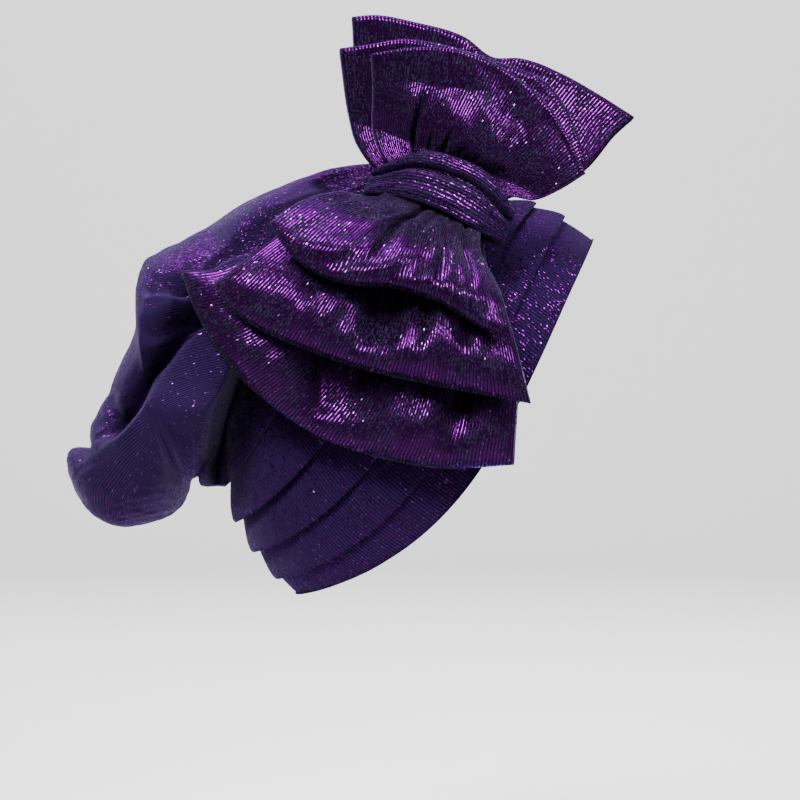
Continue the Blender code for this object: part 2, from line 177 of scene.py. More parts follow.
# %% Smooth curves and easing
WAVES = 6
WAVE_SPEEDS = (1.2, 5.5)
WAVE_SHARE = 4


def blend(places, values, at):
    """A smooth curve through one value for each place, read at the places asked for."""
    places, values = np.asarray(places, float), np.asarray(values, float)
    slopes = np.gradient(values, places, axis=0)
    cell = np.clip(np.searchsorted(places, at, side="right") - 1, 0, len(places) - 2)
    span = places[cell + 1] - places[cell]
    share = (at - places[cell]) / span
    shape = share.shape + (1,) * (values.ndim - 1)
    share, span = share.reshape(shape), span.reshape(shape)
    start = values[cell] * (1 + 2 * share) + slopes[cell] * span * share
    finish = values[cell + 1] * (3 - 2 * share) - slopes[cell + 1] * span * (1 - share)
    return start * (1 - share) ** 2 + finish * share**2


def eased(value, low, high):
    """0 up to low, 1 from high on, and a smooth change between them."""
    share = np.clip((value - low) / (high - low), 0, 1)
    return share * share * (3 - 2 * share)


def even(points, at):
    """A smooth curve through points, read at shares of its length."""
    points = np.array(points, float)
    gaps = np.linalg.norm(np.diff(points, axis=0), axis=1)
    places = np.concatenate([[0], np.cumsum(gaps)]) / gaps.sum()
    return blend(places, points, at)


def turned(angle):
    """Cosine and sine of an angle in degrees."""
    return np.cos(np.radians(angle)), np.sin(np.radians(angle))


def ripple(first, second, seed):
    """A soft uneven wave over two shares, from -1 to 1, the same in each run."""
    dice = np.random.default_rng(seed)
    total = 0 * (first + second)
    for wave in dice.uniform(*WAVE_SPEEDS, (WAVES, 2)):
        turns = wave[0] * first + wave[1] * second
        total = total + np.sin(2 * np.pi * turns + dice.uniform(0, 2 * np.pi))
    return total / WAVE_SHARE


print("a ripple at the middle:", round(float(ripple(0.5, 0.5, 1)), 3))


# %% Cut, drape, sew and wall a strip
SEW_REACH = 0.02


def cut_strip(name, columns, rows):
    """A flat strip of cloth, a grid of the given number of faces each way."""
    bpy.ops.object.select_all(action="DESELECT")
    bpy.ops.mesh.primitive_grid_add(x_subdivisions=columns, y_subdivisions=rows, size=1, calc_uvs=True)
    piece = bpy.context.object
    piece.name = name
    piece.data.name = name
    piece.data.uv_layers[0].name = "cloth"
    return piece


def drape(piece, grid, ribs, along):
    """Move each point of the strip to its place in mm, and write its rib and the length along it."""
    rows, columns = grid.shape[0] - 1, grid.shape[1] - 1
    mesh = piece.data
    flat = np.zeros(len(mesh.vertices) * 3)
    mesh.vertices.foreach_get("co", flat)
    flat = flat.reshape(-1, 3)
    column = np.rint((flat[:, 0] + 0.5) * columns).astype(int)
    row = np.rint((flat[:, 1] + 0.5) * rows).astype(int)
    mesh.vertices.foreach_set("co", (grid[row, column] * MM).ravel())
    corner = np.zeros(len(mesh.loops), int)
    mesh.loops.foreach_get("vertex_index", corner)
    pattern = np.stack([ribs + 0 * grid[..., 0], along + 0 * grid[..., 0]], axis=-1)
    mesh.uv_layers["cloth"].data.foreach_set("uv", pattern[row[corner], column[corner]].ravel())
    mesh.update()


def sew(piece):
    """Join the edges that meet, and point all faces outwards."""
    select_only(piece)
    bpy.ops.object.mode_set(mode="EDIT")
    bpy.ops.mesh.select_all(action="SELECT")
    bpy.ops.mesh.remove_doubles(threshold=SEW_REACH * MM)
    bpy.ops.mesh.normals_make_consistent(inside=False)
    bpy.ops.object.mode_set(mode="OBJECT")
    bpy.ops.object.shade_smooth()


def give_wall(piece, wall):
    """Give the cloth its thickness on its inner side."""
    select_only(piece)
    solid = piece.modifiers.new("wall", "SOLIDIFY")
    solid.thickness = wall * MM
    solid.offset = -1
    bpy.ops.object.modifier_apply(modifier=solid.name)
    area = sum(face.area for face in piece.data.polygons) / 2
    triangles = len(piece.data.loops) - 2 * len(piece.data.polygons)
    print(f"{piece.name}: {triangles} triangles, cloth {area:.4f} m2")


print("the strip tools are ready")

# %% [markdown]
# ## The head under the cap
# The cap sits on an egg: an oval opening tilted back from the forehead to the nape, and a dome over
# it. Places on it are given by how far round the head they are, how far up from the rim and how far
# out. The rim dips toward the ears, as a pulled-on cap does.

# %% Places on the head
OPENING_HALF_LENGTH = 123.7
OPENING_HALF_WIDTH = 79.0
OPENING_TILT = 50.0
HEAD_RISE = 113.0
HEAD_ARC = 110.0
RIM_DIP = 28.5
RIM_DIP_LEAN = 0.6


def head_point(around, up, out):
    """Points over the head: round it from the forehead, up it from the rim, and out from it."""
    dip = RIM_DIP * np.sin(around) ** 2 * (1 - RIM_DIP_LEAN * np.cos(around))
    rise = up / HEAD_ARC - np.arcsin(dip / HEAD_RISE)
    round_it = np.stack(
        [np.sin(around) * np.cos(rise), np.cos(around) * np.cos(rise), np.sin(rise)], axis=-1
    )
    sizes = np.array([OPENING_HALF_WIDTH, OPENING_HALF_LENGTH, HEAD_RISE])
    outward = round_it / sizes
    outward /= np.linalg.norm(outward, axis=-1, keepdims=True)
    level, steep = turned(OPENING_TILT)
    axes = np.array([[-1, 0, 0], [0, -level, steep], [0, steep, level]])
    return (round_it * sizes + outward * np.asarray(out)[..., None]) @ axes


print("top of the bare head at", np.round(head_point(0.0, 172.0, 0.0)), "mm")

# %% [markdown]
# ## Head band
# The band is one strip sewn into four tucks that lie over each other like shingles. A tuck could be
# four separate rings, but the real one is folded cloth, so the strip here folds under at each tuck:
# it runs up a row, turns in below the next row's lip and comes out again.

# %% The tuck rows, one strip with folded lips
Row = namedtuple("Row", "forehead side nape stand_front stand_nape")
TUCK_ROWS = (
    Row(20, 23, 14, 2.6, 2.6),
    Row(36, 47, 32, 5.0, 5.0),
    Row(50, 74, 49, 5.0, 6.5),
    Row(60, 113, 71, 5.0, 7.5),
)
ROW_TOP_STAND = 2.2
STAND_START = 0.1
STAND_FULL = 0.9
ROW_PUFF = 0.35
ROW_WAVE = 0.5
ROW_DRIFT = 0.4
ROW_LENGTH = 25
TUCK_LENGTH = 5
BAND_RIBS = 400
BAND_COLUMNS = 280
BAND_CLOTH = 1.2
# Each row's shape: how far up the row, how far past its lower edge in mm, and how far out it stands
Shape = namedtuple("Shape", "up past stand")
ROW_SHAPE = (
    Shape(0, 0.9, 0.05),
    Shape(0, -0.3, 0.3),
    Shape(0, -1.1, 0.72),
    Shape(0, -0.9, 0.96),
    Shape(0, 0.6, 1.05),
    Shape(0.1, 0, 1.02),
    Shape(0.25, 0, 0.9),
    Shape(0.42, 0, 0.7),
    Shape(0.6, 0, 0.46),
    Shape(0.8, 0, 0.2),
    Shape(0.94, 0, 0.03),
    Shape(1, 0.6, -0.05),
)
RIM_START = (Shape(0, 0.7, 0.05), Shape(0, 0, 0.5), Shape(0, 0.4, 0.95), Shape(0.1, 0, 1.0))
RIM_SHAPE = RIM_START + ROW_SHAPE[6:]
SHAPE_STEPS = 3


def by_side(forehead, side, nape, around):
    """Three values blended round the head: at the forehead, at both sides and at the nape."""
    front = np.cos(around)
    return side + (forehead - nape) / 2 * front + ((forehead + nape) / 2 - side) * front**2


def row_end(row, around):
    """How far up from the rim a tuck row ends."""
    return by_side(row.forehead, row.side, row.nape, around)


def row_stand(row, around):
    """How far a tuck row's lower edge stands out of the head, more at the nape."""
    share = eased(-np.cos(around), STAND_START, STAND_FULL)
    return row.stand_front + (row.stand_nape - row.stand_front) * share


around = np.linspace(0, 2 * np.pi, BAND_COLUMNS + 1)
rings, lengths = [], []
start, travelled = 0 * around, 0.0
for number, row in enumerate(TUCK_ROWS):
    end, stand = row_end(row, around), row_stand(row, around)
    shapes = RIM_SHAPE if number == 0 else ROW_SHAPE
    steps = np.linspace(0, len(shapes) - 1, (len(shapes) - 1) * SHAPE_STEPS + 1)
    ups = blend(range(len(shapes)), [s.up for s in shapes], steps)
    pasts = blend(range(len(shapes)), [s.past for s in shapes], steps)
    stands = blend(range(len(shapes)), [s.stand for s in shapes], steps)
    puff = ROW_PUFF * ripple(around / 2, 0.3 * number + 0 * around, 11 + number)
    wave = ROW_WAVE * ripple(around / 1.6, 0 * around, 5 + number)
    for up, past, out in zip(ups, pasts, stands):
        height = start + up * (end - start) + past + ROW_DRIFT * wave * np.sin(np.pi * up)
        rings.append(head_point(around, height, ROW_TOP_STAND + out * (stand - ROW_TOP_STAND) + puff * out))
        lengths.append(travelled + up * ROW_LENGTH)
    start, travelled = end, travelled + ROW_LENGTH + TUCK_LENGTH
band_grid = np.array(rings)
band_grid[:, -1] = band_grid[:, 0]

head_band = cut_strip("head_band_cloth", BAND_COLUMNS, len(band_grid) - 1)
band_ribs = np.linspace(0, BAND_RIBS, BAND_COLUMNS + 1)[None, :]
drape(head_band, band_grid, band_ribs, np.array(lengths)[:, None])
sew(head_band)
give_wall(head_band, BAND_CLOTH)

# %% [markdown]
# ## Where the bow lies
# The bow faces the wearer's right and slants down toward the face. Across and up are measured in its
# own plane, and its depth is how far it stands out of the head. The crown's cloth gives way under it.

# %% Places on the bow
BOW_CENTRE = (-65.0, 5.5, 110.0)
BOW_SLANT = 24.0
BOW_YAW = 0.36
YAW_REACH = 60.0
KNOT_MIDDLE = 12.0
KNOT_HALF_WIDTH = 20.0
KNOT_HALF_SPAN = 34.0
KNOT_HALF_DEPTH = 15.6
KNOT_WALL = 2.2
KNOT_BULGE = 3.0
LAYER_GAP = 0.8
SEAT_GAP = 0.9
SEAT_MARGIN = 4.0
SEAT_SPREAD = 42.0
SEAT_REACH = 35.0
UPPER_LEAN = 0.28
UPPER_REACH = 32.0
# The loops swell out as soon as they leave the wrap, which is narrower than the knot's seat
LOOP_MARGIN = -6.0


def bow_place(points):
    """How far points lie across the bow and up it from its centre."""
    level, steep = turned(BOW_SLANT)
    y, z = points[..., 1] - BOW_CENTRE[1], points[..., 2] - BOW_CENTRE[2]
    return -level * y - steep * z, -steep * y + level * z


def bow_point(across, up, x):
    """Points from their places across and up the bow, and their x."""
    level, steep = turned(BOW_SLANT)
    y = BOW_CENTRE[1] - level * across - steep * up
    z = BOW_CENTRE[2] - steep * across + level * up
    return np.stack([x + 0 * y, y, z], axis=-1)


def clear_of_knot(up, margin=0):
    """How far up or down the bow a place is from the knot's edge and a margin, and 0 inside them."""
    return np.maximum(np.abs(up - KNOT_MIDDLE) - KNOT_HALF_WIDTH - margin, 0)


def throat_back(across, up, margin=0):
    """How far from the middle plane the innermost loop's back lies, all along the bow."""
    clear = clear_of_knot(up, margin)
    below = SEAT_SPREAD * (1 - np.exp(-clear / SEAT_REACH)) * (up < KNOT_MIDDLE)
    above = UPPER_LEAN * UPPER_REACH * (1 - np.exp(-clear / UPPER_REACH)) * (up > KNOT_MIDDLE)
    turn = BOW_YAW * across * np.exp(-clear / YAW_REACH)
    return LAYER_GAP - BOW_CENTRE[0] - KNOT_HALF_DEPTH + below - above + turn


def seat_depth(across, up):
    """How far from the middle plane the cap may reach: to the knot wrap, and past it to the loops."""
    wrap = (KNOT_WALL + KNOT_BULGE) * (1 - eased(clear_of_knot(up), SEAT_MARGIN / 2, 2 * SEAT_MARGIN))
    return throat_back(across, up, SEAT_MARGIN) - wrap - SEAT_GAP


print("the bow's back is", round(float(throat_back(0.0, -60.0))), "mm out at the lower loops")

# %% [markdown]
# ## Crown with its hanging tail
# The crown is a bag of pleated cloth, gathered into the band and hanging past the nape. It could be
# simulated, but the photo's own folds are wanted, so the bag is lofted through sections and its folds
# are pressed in one by one: each crease is a line with a depth, a width and a lip that overhangs it.

# %% The plain bag
Section = namedtuple("Section", "top_y top_z under_y under_z half_width")
CROWN_SECTIONS = (
    Section(9, 138, 133, -38, 84),
    Section(54, 137, 134, -33, 88),
    Section(99, 122, 136, -33, 91),
    Section(142, 97, 140, -36, 91),
    Section(164, 83, 142, -40, 89),
    Section(167, 50, 143, -44, 86),
    Section(180, 21, 145, -48, 81),
    Section(193, -5, 149, -52, 73),
    Section(205, -25, 158, -57, 62),
    Section(197, -46, 174, -60, 42),
)
CROWN_TIP = (0, 187, -57)
CROWN_SEAM = 4.5
SEAM_SHARE = 0.3
CROWN_LAP = 5.0
CROWN_SQUARENESS = 0.86
CROWN_ROWS = 170
CROWN_COLUMNS = 260
CROWN_CLOTH = 1.1
# The rows stop just short of the tip, and they lie closer together toward it
CROWN_END = 0.985
CROWN_CROWDING = 1.15


def crown_sections(at, around):
    """The plain bag: a smooth loft from the band's top seam through the sections to the tip."""
    last = TUCK_ROWS[-1]
    seam_out = CROWN_SEAM + SEAM_SHARE * row_stand(last, around)
    rings = [head_point(around, row_end(last, around) - CROWN_LAP, seam_out)]
    up, side = np.cos(around), np.sin(around)
    up, side = (np.sign(v) * np.abs(v) ** CROWN_SQUARENESS for v in (up, side))
    for section in CROWN_SECTIONS:
        top = np.array([0, section.top_y, section.top_z])
        under = np.array([0, section.under_y, section.under_z])
        ring = (top + under) / 2 + up[:, None] * (top - under) / 2
        ring[:, 0] -= side * section.half_width
        rings.append(ring)
    rings.append(np.tile(np.array(CROWN_TIP, float), (len(around), 1)))
    return blend(range(len(rings)), rings, at)


rows = np.linspace(0, CROWN_END, CROWN_ROWS + 1)
at = (len(CROWN_SECTIONS) + 1) * (1 - (1 - rows) ** CROWN_CROWDING)
around = np.linspace(0, 2 * np.pi, CROWN_COLUMNS + 1)
plain_crown = crown_sections(at, around)
print("plain bag:", np.round(np.ptp(plain_crown, axis=(0, 1))), "mm")

# %% The folds on the wearer's right, drawn in the side view by their y and z in mm
Crease = namedtuple("Crease", "name line depth gentle steep lip")
RIGHT_CREASES = (
    Crease(
        "upper_valley", depth=17, gentle=11, steep=6, lip=3,
        line=((82, 100), (91, 96), (108, 93), (120, 88), (130, 80), (137, 71), (144, 62)),
    ),
    Crease("left_roll_end", ((128, 74), (138, 71), (148, 69), (160, 68)), 9, 7, 4, 3),
    Crease("middle_gap", ((128, 61), (137, 55), (147, 48), (158, 40)), 6, 7, 4, 2),
    Crease(
        "lower_valley", depth=25, gentle=9, steep=3.2, lip=6,
        line=(
            (104, 62), (118, 56), (129, 49), (137, 42), (145, 31),
            (157, 15), (164, 4), (173, -5), (186, -12),
        ),
    ),
    Crease("top_dent", ((60, 124), (80, 115), (100, 107), (118, 101), (136, 96)), 4, 9, 6, 1),
    Crease("curl", ((178, 17), (177, 8), (172, 3), (166, 5)), 6, 4, 4, 1),
)
LIP_REACH = 12.0
# How far past a crease's line its lip starts to rise and is full, in widths of its steep side
LIP_START = 0.6
LIP_FULL = 2.0
CREASE_START = 0.15
CREASE_END = 0.82
# How far from the middle the wearer's right starts, and where its folds are full
RIGHT_START = 5.0
RIGHT_FULL = 35.0
LINE_STEPS = 90


def right_share(points):
    """0 up to the middle of the bag, 1 on the wearer's right, and a smooth change between them."""
    return eased(-points[..., 0], RIGHT_START, RIGHT_FULL)


def beside(line, points):
    """How far points lie from a line in the side view, more than 0 on its left, and where along it."""
    line = even(line, np.linspace(0, 1, LINE_STEPS))
    away = points[..., None, 1:] - line
    reach = np.linalg.norm(away, axis=-1)
    nearest = reach.argmin(axis=-1)
    way = np.gradient(line, axis=0)[nearest]
    gap = np.take_along_axis(away, nearest[..., None, None], axis=-2)[..., 0, :]
    side = np.sign(way[..., 0] * gap[..., 1] - way[..., 1] * gap[..., 0])
    return reach.min(axis=-1) * side, nearest / (LINE_STEPS - 1)


def crease_depth(crease, points):
    """How deep a crease presses each point in, and out again where the next fold's lip overhangs it."""
    distance, share = beside(crease.line, points)
    strength = eased(share, 0, CREASE_START) * (1 - eased(share, CREASE_END, 1))
    width = np.where(distance > 0, crease.gentle, crease.steep)
    hollow = crease.depth * np.exp(-((distance / width) ** 2))
    past = -distance / crease.steep
    fade = np.exp(-np.maximum(past - LIP_FULL, 0) * crease.steep / LIP_REACH)
    rise = crease.lip * eased(past, LIP_START, LIP_FULL) * fade
    return strength * (hollow - rise) * right_share(points)


right_depth = sum(crease_depth(crease, plain_crown) for crease in RIGHT_CREASES)
print("deepest crease:", round(float(right_depth.max()), 1), "mm")

# %% The flap's edge, with the cloth behind it drawn in over the nape
FLAP_EDGE = ((131, -46), (128, -32), (128.5, -25), (125, -11), (120, 6), (112, 26), (103, 48))
FLAP_LIP = 6.0
FLAP_LIP_FULL = 4.0
# The cloth behind the edge is drawn in over these mm past it, and it leaves a cavity under the lip
DRAW_START = -1.0
DRAW_FULL = 3.0
FLAP_CAVITY = 9.0
CAVITY_PLACE = 4.0
# Toward the top of the edge the flap ends in the crown's own cloth
FLAP_FADE = 0.75
FLAP_END = 0.95
NAPE_STAND = 5.0
NAPE_LEAST = 0.04


def over_nape(points):
    """The x of cloth that lies close over the head at each place in the side view."""
    level, steep = turned(OPENING_TILT)
    y, z = points[..., 1], points[..., 2]
    long = (steep * z - level * y) / (OPENING_HALF_LENGTH + NAPE_STAND)
    high = (steep * y + level * z) / (HEAD_RISE + NAPE_STAND)
    return -(OPENING_HALF_WIDTH + NAPE_STAND) * np.sqrt(np.maximum(1 - long**2 - high**2, NAPE_LEAST))


def drawn_in(points):
    """The share of each point that is drawn in, and the points, with the flap's lip and the cavity."""
    distance, share = beside(FLAP_EDGE, points)
    right = (points[..., 0] < 0) * (1 - eased(share, FLAP_FADE, FLAP_END))
    inner = right * eased(distance, DRAW_START, DRAW_FULL)
    close = np.maximum(points[..., 0], over_nape(points))
    close = close + FLAP_CAVITY * np.exp(-(((distance - CAVITY_PLACE) / CAVITY_PLACE) ** 2))
    fade = np.exp(-np.maximum(-distance - FLAP_LIP_FULL, 0) / LIP_REACH)
    lip = FLAP_LIP * right * eased(-distance, 0, FLAP_LIP_FULL) * fade
    moved = points.copy()
    moved[..., 0] = points[..., 0] * (1 - inner) + close * inner - lip * right_share(points)
    return inner, moved


edge_steps = np.linalg.norm(np.diff(even(FLAP_EDGE, np.linspace(0, 1, LINE_STEPS)), axis=0), axis=1)
print("the flap's edge is", round(float(edge_steps.sum())), "mm long")

# %% The plainer folds of the top and the wearer's left, by section number and angle from the top
Fold = namedtuple("Fold", "name sections angles depth width")
LEFT_FOLDS = (
    Fold("tail_under", (1.9, 1.9, 2.0, 2.1), (175, 195, 220, 245), 6, 9),
    Fold("left_upper", (0.9, 2.2, 3.6, 5.0, 6.2, 7.0), (-98, -84, -76, -74, -52, -22), 11, 9),
    Fold("left_lower", (2.4, 3.8, 5.2, 6.6, 7.8, 8.7), (-112, -104, -102, -94, -72, -40), 13, 9),
    Fold("left_small", (1.6, 3.0, 4.4, 5.4), (-62, -58, -52, -50), 5, 7),
    Fold("top_left", (0.8, 1.8, 3.0, 4.2, 5.2), (-26, -28, -31, -36, -34), 6, 10),
    Fold("seam_pucker", (0.3, 1.0, 1.8), (-140, -132, -128), 5, 6),
    Fold("tail_notch", (8.3, 8.3, 8.3, 8.3), (-60, -20, 20, 60), 9, 5),
    Fold("tail_horn", (8.75, 8.75, 8.75, 8.75), (-60, -20, 20, 60), -3, 4),
)
FOLD_STEPS = 60
FOLD_START = 0.2
FOLD_END = 0.8


def fold_depth(fold, points):
    """How deep a fold presses each point of the plain bag in."""
    share = np.linspace(0, 1, FOLD_STEPS)
    steps = np.linspace(0, 1, len(fold.sections))
    sections, angles = blend(steps, fold.sections, share), blend(steps, fold.angles, share)
    line = crown_sections(sections, np.radians(angles))[range(FOLD_STEPS), range(FOLD_STEPS)]
    strength = eased(share, 0, FOLD_START) * (1 - eased(share, FOLD_END, 1))
    depth = np.zeros(points.shape[:-1])
    for row in range(len(points)):
        distance = np.linalg.norm(points[row, :, None, :] - line, axis=-1)
        nearest = distance.argmin(axis=-1)
        depth[row] = strength[nearest] * np.exp(-((distance.min(axis=-1) / fold.width) ** 2))
    return fold.depth * depth


left_depth = sum(fold_depth(fold, plain_crown) for fold in LEFT_FOLDS)
print("deepest fold on the left:", round(float(left_depth.max()), 1), "mm")

# %% Fold the bag, let the bow press it, and lay ribs from front to back
PRESS_HALF_WIDTH = 36.0
PRESS_SPREAD = 0.78
PRESS_LENGTH = 136.0
PRESS_EDGE = 24.0
RIB_PITCH = 1.45
RIB_TILT = 14.0
WRINKLE_DEPTH = 0.8
FINE_WRINKLES = 0.6
CALM_END = 1.5


def pressed_by_bow(points):
    """Cloth under the bow, pressed in so far that the bow lies on it."""
    across, up = bow_place(points)
    half = PRESS_HALF_WIDTH + PRESS_SPREAD * np.abs(up - KNOT_MIDDLE)
    share = 1 - eased(np.abs(across), half, half + PRESS_EDGE)
    share *= 1 - eased(-up, PRESS_LENGTH, PRESS_LENGTH + PRESS_EDGE)
    over = np.maximum(-points[..., 0] - seat_depth(across, up), 0)
    pressed = points.copy()
    pressed[..., 0] += over * share * (points[..., 0] < 0)
    return pressed


inward = plain_crown.mean(axis=1, keepdims=True) - plain_crown
inward /= np.maximum(np.linalg.norm(inward, axis=-1, keepdims=True), 1e-9)
down, round_it = at[:, None], around[None, :]
wrinkle = ripple(down / 4, round_it / 2.1, 3) + FINE_WRINKLES * ripple(down / 1.7, round_it, 8)
calm = eased(down, 0, CALM_END)
crown_grid = plain_crown + inward * (left_depth + WRINKLE_DEPTH * wrinkle * calm)[..., None]
nape_share, crown_grid = drawn_in(crown_grid)
crown_grid = pressed_by_bow(crown_grid) + inward * right_depth[..., None]
crown_grid = pressed_by_bow(crown_grid)
crown_grid[:, -1] = crown_grid[:, 0]

level, steep = turned(RIB_TILT)
forward = plain_crown[..., 1] * level - plain_crown[..., 2] * steep
rise = plain_crown[..., 2] * level + plain_crown[..., 1] * steep
sideways = np.abs(plain_crown[..., 0])
widest = sideways.max(axis=1, keepdims=True)
down_the_side = np.where(np.cos(around) < 0, 2 * widest - sideways, sideways)
crown_ribs = (down_the_side - rise) / RIB_PITCH
crown_ribs += nape_share * (around * BAND_RIBS / (2 * np.pi) - crown_ribs)

crown = cut_strip("crown_cloth", CROWN_COLUMNS, CROWN_ROWS)
drape(crown, crown_grid, crown_ribs, forward)
sew(crown)
print("folded bag:", np.round(np.ptp(crown_grid, axis=(0, 1))), "mm")

# %% Close the tip of the tail and give the crown its wall
SAME_PLACE = 1e-5

select_only(crown)
bpy.ops.object.mode_set(mode="EDIT")
bpy.ops.mesh.select_mode(type="VERT")
bpy.ops.mesh.select_all(action="DESELECT")
bpy.ops.object.mode_set(mode="OBJECT")
ring_place = crown_grid[-1, :-1] * MM
for point in crown.data.vertices:
    point.select = bool(np.abs(ring_place - np.array(point.co)).sum(axis=1).min() < SAME_PLACE)
bpy.ops.object.mode_set(mode="EDIT")
bpy.ops.mesh.edge_face_add()
bpy.ops.mesh.poke()
bpy.ops.object.mode_set(mode="OBJECT")
bpy.ops.object.shade_smooth()
give_wall(crown, CROWN_CLOTH)

# %% [markdown]
# ## The bow's loops
# Each of the six loops is a strip pressed flat and folded over at its outer edge, then gathered into
# the knot. The strip's own folded form is modelled, front and back, because the ribs run out from the
# knot over the fold. The lower loops stay full up to a wavy ridge, where they roll over to the fold.
# The upper ones are full beside the knot and thin out to a flat edge. Darts press the cloth in where
# the knot gathers it, and they break the glints up into patches.

# %% The outlines of the loops, across and up the bow in mm
Loop = namedtuple("Loop", "name layer rises puff ridge ribs outer left right darts")
# A dart's place and width are shares of the loop's width, and its reach a share of the way to the fold
Dart = namedtuple("Dart", "across depth reach width")
LOOPS = (
    Loop(
        "bow_lower_loop_3", layer=3, rises=False, puff=13, ridge=0.84, ribs=116,
        outer=(
            (-106, -85), (-90, -101), (-61, -120), (-37, -128),
            (-8, -133), (27, -130), (55, -123), (89, -106),
        ),
        left=((-90, -77), (-73, -58), (-50, -34), (-30, -9)),
        right=((70, -60), (32, -13)),
        darts=(
            Dart(0.27, 5, 0.8, 0.04), Dart(0.48, 21, 1.12, 0.13),
            Dart(0.7, 3, 0.8, 0.03), Dart(0.84, 11, 1.05, 0.05),
        ),
    ),
    Loop(
        "bow_lower_loop_2", layer=2, rises=False, puff=12.5, ridge=0.81, ribs=96,
        outer=((-87, -85), (-73, -93), (-58, -96), (-30, -96), (-3, -94), (29, -88), (59, -81), (84, -75)),
        left=((-62, -40), (-30, -9)),
        right=((60, -44), (32, -12)),
        darts=(
            Dart(0.37, 4, 0.8, 0.03), Dart(0.5, 17, 1.0, 0.08),
            Dart(0.66, 5, 0.9, 0.03), Dart(0.8, 5, 0.85, 0.03),
        ),
    ),
    Loop(
        "bow_lower_loop_1", layer=1, rises=False, puff=11, ridge=0.64, ribs=76,
        outer=((-73, -45), (-65, -51), (-45, -59), (-23, -58), (-4, -51), (23, -48), (46, -51), (62, -50)),
        left=((-64, -28), (-49, -14), (-30, -8)),
        right=((48, -31), (29, -12)),
        darts=(
            Dart(0.42, 9, 0.85, 0.035), Dart(0.56, 3, 0.7, 0.03),
            Dart(0.7, 4, 0.9, 0.03), Dart(0.84, 4, 0.8, 0.03),
        ),
    ),
    Loop(
        "bow_upper_loop_3", layer=3, rises=True, puff=3, ridge=0.3, ribs=84,
        outer=((-83, 77), (-73, 82), (-51, 87), (-24, 90), (-5, 86), (8, 91), (34, 92), (51, 90), (75, 86)),
        left=((-62, 40), (-32, 14)),
        right=((70, 75), (62, 49), (32, 20)),
        darts=(Dart(0.35, 3, 0.5, 0.05), Dart(0.85, 8, 1.0, 0.2)),
    ),
    Loop(
        "bow_upper_loop_2", layer=2, rises=True, puff=3, ridge=0.3, ribs=86,
        outer=((-81, 57), (-67, 65), (-52, 74), (-33, 79), (0, 82), (25, 82), (38, 75), (50, 64), (61, 51)),
        left=((-75, 47), (-63, 28), (-52, 15), (-34, 7)),
        right=((50, 34), (32, 19)),
        darts=(Dart(0.4, 3, 0.5, 0.05), Dart(0.85, 8, 1.0, 0.2)),
    ),
    Loop(
        "bow_upper_loop_1", layer=1, rises=True, puff=14, ridge=0.3, ribs=80,
        outer=((-64, 59), (-45, 70), (-22, 78), (3, 78), (26, 72), (44, 61), (63, 44)),
        left=((-56, 43), (-47, 23), (-33, 11)),
        right=((54, 31), (45, 22), (32, 18)),
        darts=(
            Dart(0.23, 6, 0.7, 0.014), Dart(0.33, 2, 0.45, 0.014),
            Dart(0.42, 4, 0.5, 0.014), Dart(0.52, 2.5, 0.42, 0.014),
            Dart(0.62, 2, 0.4, 0.02), Dart(0.88, 8, 1.0, 0.14),
        ),
    ),
)
print("loops:", len(LOOPS))

# %% The throat, the outline's patch and the layers
THROAT_HALF_WIDTH = 25.0
THROAT_THICKNESS = 8.6
THROAT_GAP = 1.5
LOOP_EDGE = 3.4
PUFF_REACH = 22.0
STACK_SPREAD = {False: 14.0, True: 10.0}
Wrap = namedtuple("Wrap", "across middle half_width")
KNOT_SHAPE = (Wrap(-36, -2, 7), Wrap(-18, 9, 13), Wrap(0, 12, 14), Wrap(18, 10, 14), Wrap(36, 3, 9))
KNOT_PLACES = [w.across for w in KNOT_SHAPE]
KNOT_MIDDLES = [w.middle for w in KNOT_SHAPE]


def throat_height(across):
    """Where the loops' throats meet up the bow, half as arched as the wrap round them."""
    return (blend(KNOT_PLACES, KNOT_MIDDLES, np.asarray(across, float)) + KNOT_MIDDLE) / 2


def loop_patch(loop, across, along):
    """Places across and up the bow of a loop's grid, between its throat, sides and outer edge."""
    lift = THROAT_GAP if loop.rises else -THROAT_GAP
    ends = [(-THROAT_HALF_WIDTH, throat_height(-THROAT_HALF_WIDTH) + lift)]
    ends.append((THROAT_HALF_WIDTH, throat_height(THROAT_HALF_WIDTH) + lift))
    outer = even(loop.outer, across)
    left = even((ends[0],) + loop.left[::-1] + (loop.outer[0],), along)
    right = even((ends[1],) + loop.right[::-1] + (loop.outer[-1],), along)
    throat_across = THROAT_HALF_WIDTH * (2 * across - 1)
    throat = np.stack([throat_across, throat_height(throat_across) + lift], axis=-1)
    a, s = across[None, :, None], along[:, None, None]
    sides = (1 - a) * left[:, None] + a * right[:, None]
    ways = (1 - s) * throat[None] + s * outer[None]
    corners = (1 - s) * ((1 - a) * throat[0] + a * throat[-1]) + s * ((1 - a) * outer[0] + a * outer[-1])
    return sides + ways - corners


def layer_back(loop, across, up):
    """How far from the middle plane a loop's back lies, stacked on the loops under it."""
    spread = STACK_SPREAD[loop.rises] * (1 - np.exp(-clear_of_knot(up, LOOP_MARGIN) / PUFF_REACH))
    return throat_back(across, up, LOOP_MARGIN) + (3 - loop.layer) * (THROAT_THICKNESS + LAYER_GAP + spread)


print("the front lower loop's back lies", round(float(layer_back(LOOPS[2], 0.0, -40.0))), "mm out")

# %% How full a loop is: flat at its sides, full at its middle, with a ridge before its fold
LOOP_COLUMNS = 140
LOOP_ROWS = 50
FOLD_ROUND = 0.028
SIDE_ROUND = 0.35
HEM_PARTS = 51
ROW_CROWDING = 1.3
RIDGE_HOLLOW = 0.15
RIDGE_WIDTH = 0.2
RIDGE_WANDER = 0.06
# The ridge starts clear of the throat, and the loop's sides keep to the stack's back there
THROAT_END = 0.1
RIDGE_START = 0.4
THIN_END = 0.5
THIN_POWER = 0.6
